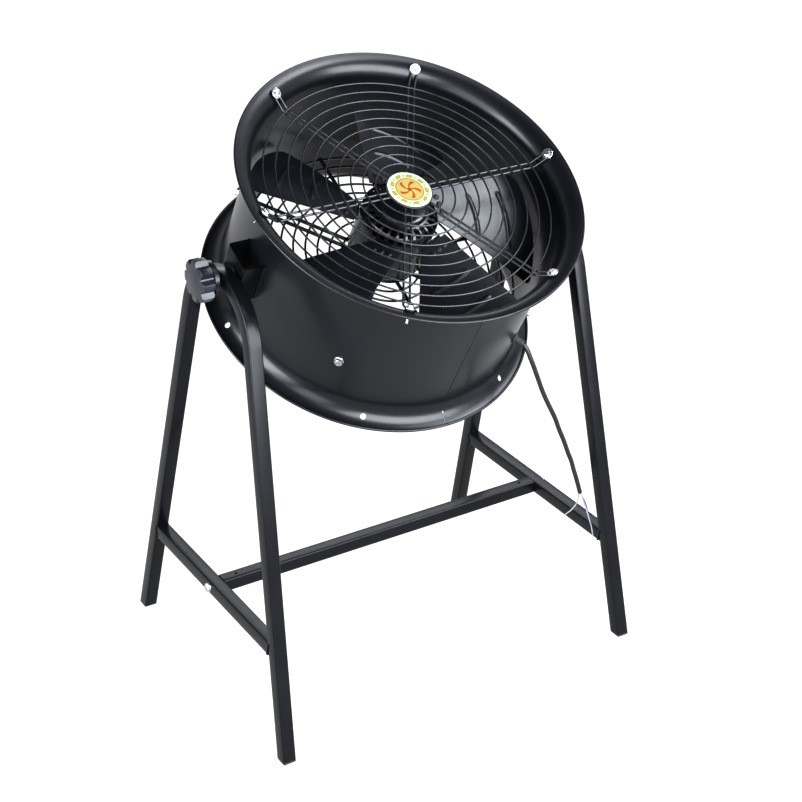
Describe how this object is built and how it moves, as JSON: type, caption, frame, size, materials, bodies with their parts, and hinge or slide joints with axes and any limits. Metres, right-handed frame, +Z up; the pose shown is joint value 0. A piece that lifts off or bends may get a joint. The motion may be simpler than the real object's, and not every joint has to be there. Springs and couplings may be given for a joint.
{
  "type": "axial fan",
  "caption": "Free-standing axial fan: a guarded, flared duct with a bladed impeller on an outer-rotor motor, clamped by knobs between two tubular A-frames.",
  "frame": {"origin": "on the floor, midway between the four feet", "axes": "+Z up; +X along the tilt axis, to the right of someone facing the blowing side; the duct's mouth leans towards -Y"},
  "size_m": [0.7732, 0.6911, 1.0872],
  "materials": {
    "black_paint": "satin black powder coat",
    "duct_paint": "satin black powder coat, slightly glossier",
    "blade_paint": "satin black paint on pressed sheet",
    "guard_paint": "gloss black coated wire",
    "zinc": "bright zinc plating",
    "bright_steel": "turned and ground steel",
    "laminations": "stacked electrical steel",
    "winding_copper": "varnished copper wire",
    "cast_aluminium": "die cast, unpainted",
    "black_plastic": "moulded, lightly grained",
    "knob_plastic": "moulded phenolic, satin",
    "badge_face": "printed label under a clear film",
    "black_rubber": "moulded, matte",
    "cable_sheath": "dark grey-green sheath, matte",
    "core_insulation": "coloured insulation"
  },
  "bodies": {
    "stand": {"left_frame": "black_paint", "right_frame": "black_paint", "left_crossbar": "black_paint", "right_crossbar": "black_paint", "stretcher": "black_paint", "stretcher_blocks": "bright_steel", "stretcher_bolts": "zinc", "stretcher_washers": "zinc", "foot_plugs": "black_plastic", "pivot_wedges": "black_plastic"},
    "drum": {"duct_shell": "duct_paint", "left_bracket": "black_paint", "right_bracket": "black_paint", "bracket_nuts": "zinc", "front_guard_rings": "guard_paint", "front_guard_arms": "guard_paint", "badge_plate": "black_plastic", "badge": "badge_face", "front_guard_bolts": "zinc", "front_guard_washers": "zinc", "front_guard_nuts": "zinc", "motor_guard_rings": "guard_paint", "motor_guard_arms": "guard_paint", "motor_guard_spokes": "guard_paint", "motor_guard_feet": "guard_paint", "foot_bolts": "zinc", "foot_bolt_nuts": "zinc", "motor_plate": "guard_paint", "motor_flange": "cast_aluminium", "motor_screws": "zinc", "motor_rear_cap": "black_plastic", "stator_core": "laminations", "stator_windings": "winding_copper", "rear_bearing": "bright_steel", "front_bearing": "bright_steel", "motor_lead": "cable_sheath", "cable_sleeve": "black_rubber", "cable": "cable_sheath", "core_wires": "core_insulation"},
    "impeller": {"rotor_case": "guard_paint", "rotor_ring": "laminations", "shaft": "bright_steel", "blade_1": "blade_paint", "blade_2": "blade_paint", "blade_3": "blade_paint", "blade_4": "blade_paint", "blade_5": "blade_paint", "blade_brackets": "guard_paint", "blade_rivets": "zinc"},
    "left_clamp_slide": {"left_clamp_washer": "zinc"},
    "left_clamp_screw": {"left_knob": "knob_plastic", "left_stud": "zinc"},
    "right_clamp_slide": {"right_clamp_washer": "zinc"},
    "right_clamp_screw": {"right_knob": "knob_plastic", "right_stud": "zinc"}
  },
  "joints": [
    {"name": "drum_tilt", "type": "hinge", "parent": "stand", "child": "drum", "pos_m": [0, 0, 0.811], "axis": [1, 0, 0], "range_deg": [-28, 92]},
    {"name": "impeller_spin", "type": "hinge", "parent": "drum", "child": "impeller", "pos_m": [0, 0, 0.811], "axis": [0, -0.4695, 0.8829], "continuous": true},
    {"name": "left_clamp_travel", "type": "slide", "parent": "drum", "child": "left_clamp_slide", "axis": [-1, 0, 0], "range_m": [0, 0.003]},
    {"name": "left_knob_turn", "type": "hinge", "parent": "left_clamp_slide", "child": "left_clamp_screw", "pos_m": [-0.3496, 0, 0.811], "axis": [-1, 0, 0], "range_deg": [0, 721]},
    {"name": "right_clamp_travel", "type": "slide", "parent": "drum", "child": "right_clamp_slide", "axis": [1, 0, 0], "range_m": [0, 0.003]},
    {"name": "right_knob_turn", "type": "hinge", "parent": "right_clamp_slide", "child": "right_clamp_screw", "pos_m": [0.3496, 0, 0.811], "axis": [1, 0, 0], "range_deg": [0, 721]}
  ],
  "couplings": [
    {"joint": "left_knob_turn", "follows": "left_clamp_travel", "rad_per_m": 4188.8},
    {"joint": "right_knob_turn", "follows": "right_clamp_travel", "rad_per_m": 4188.8}
  ]
}
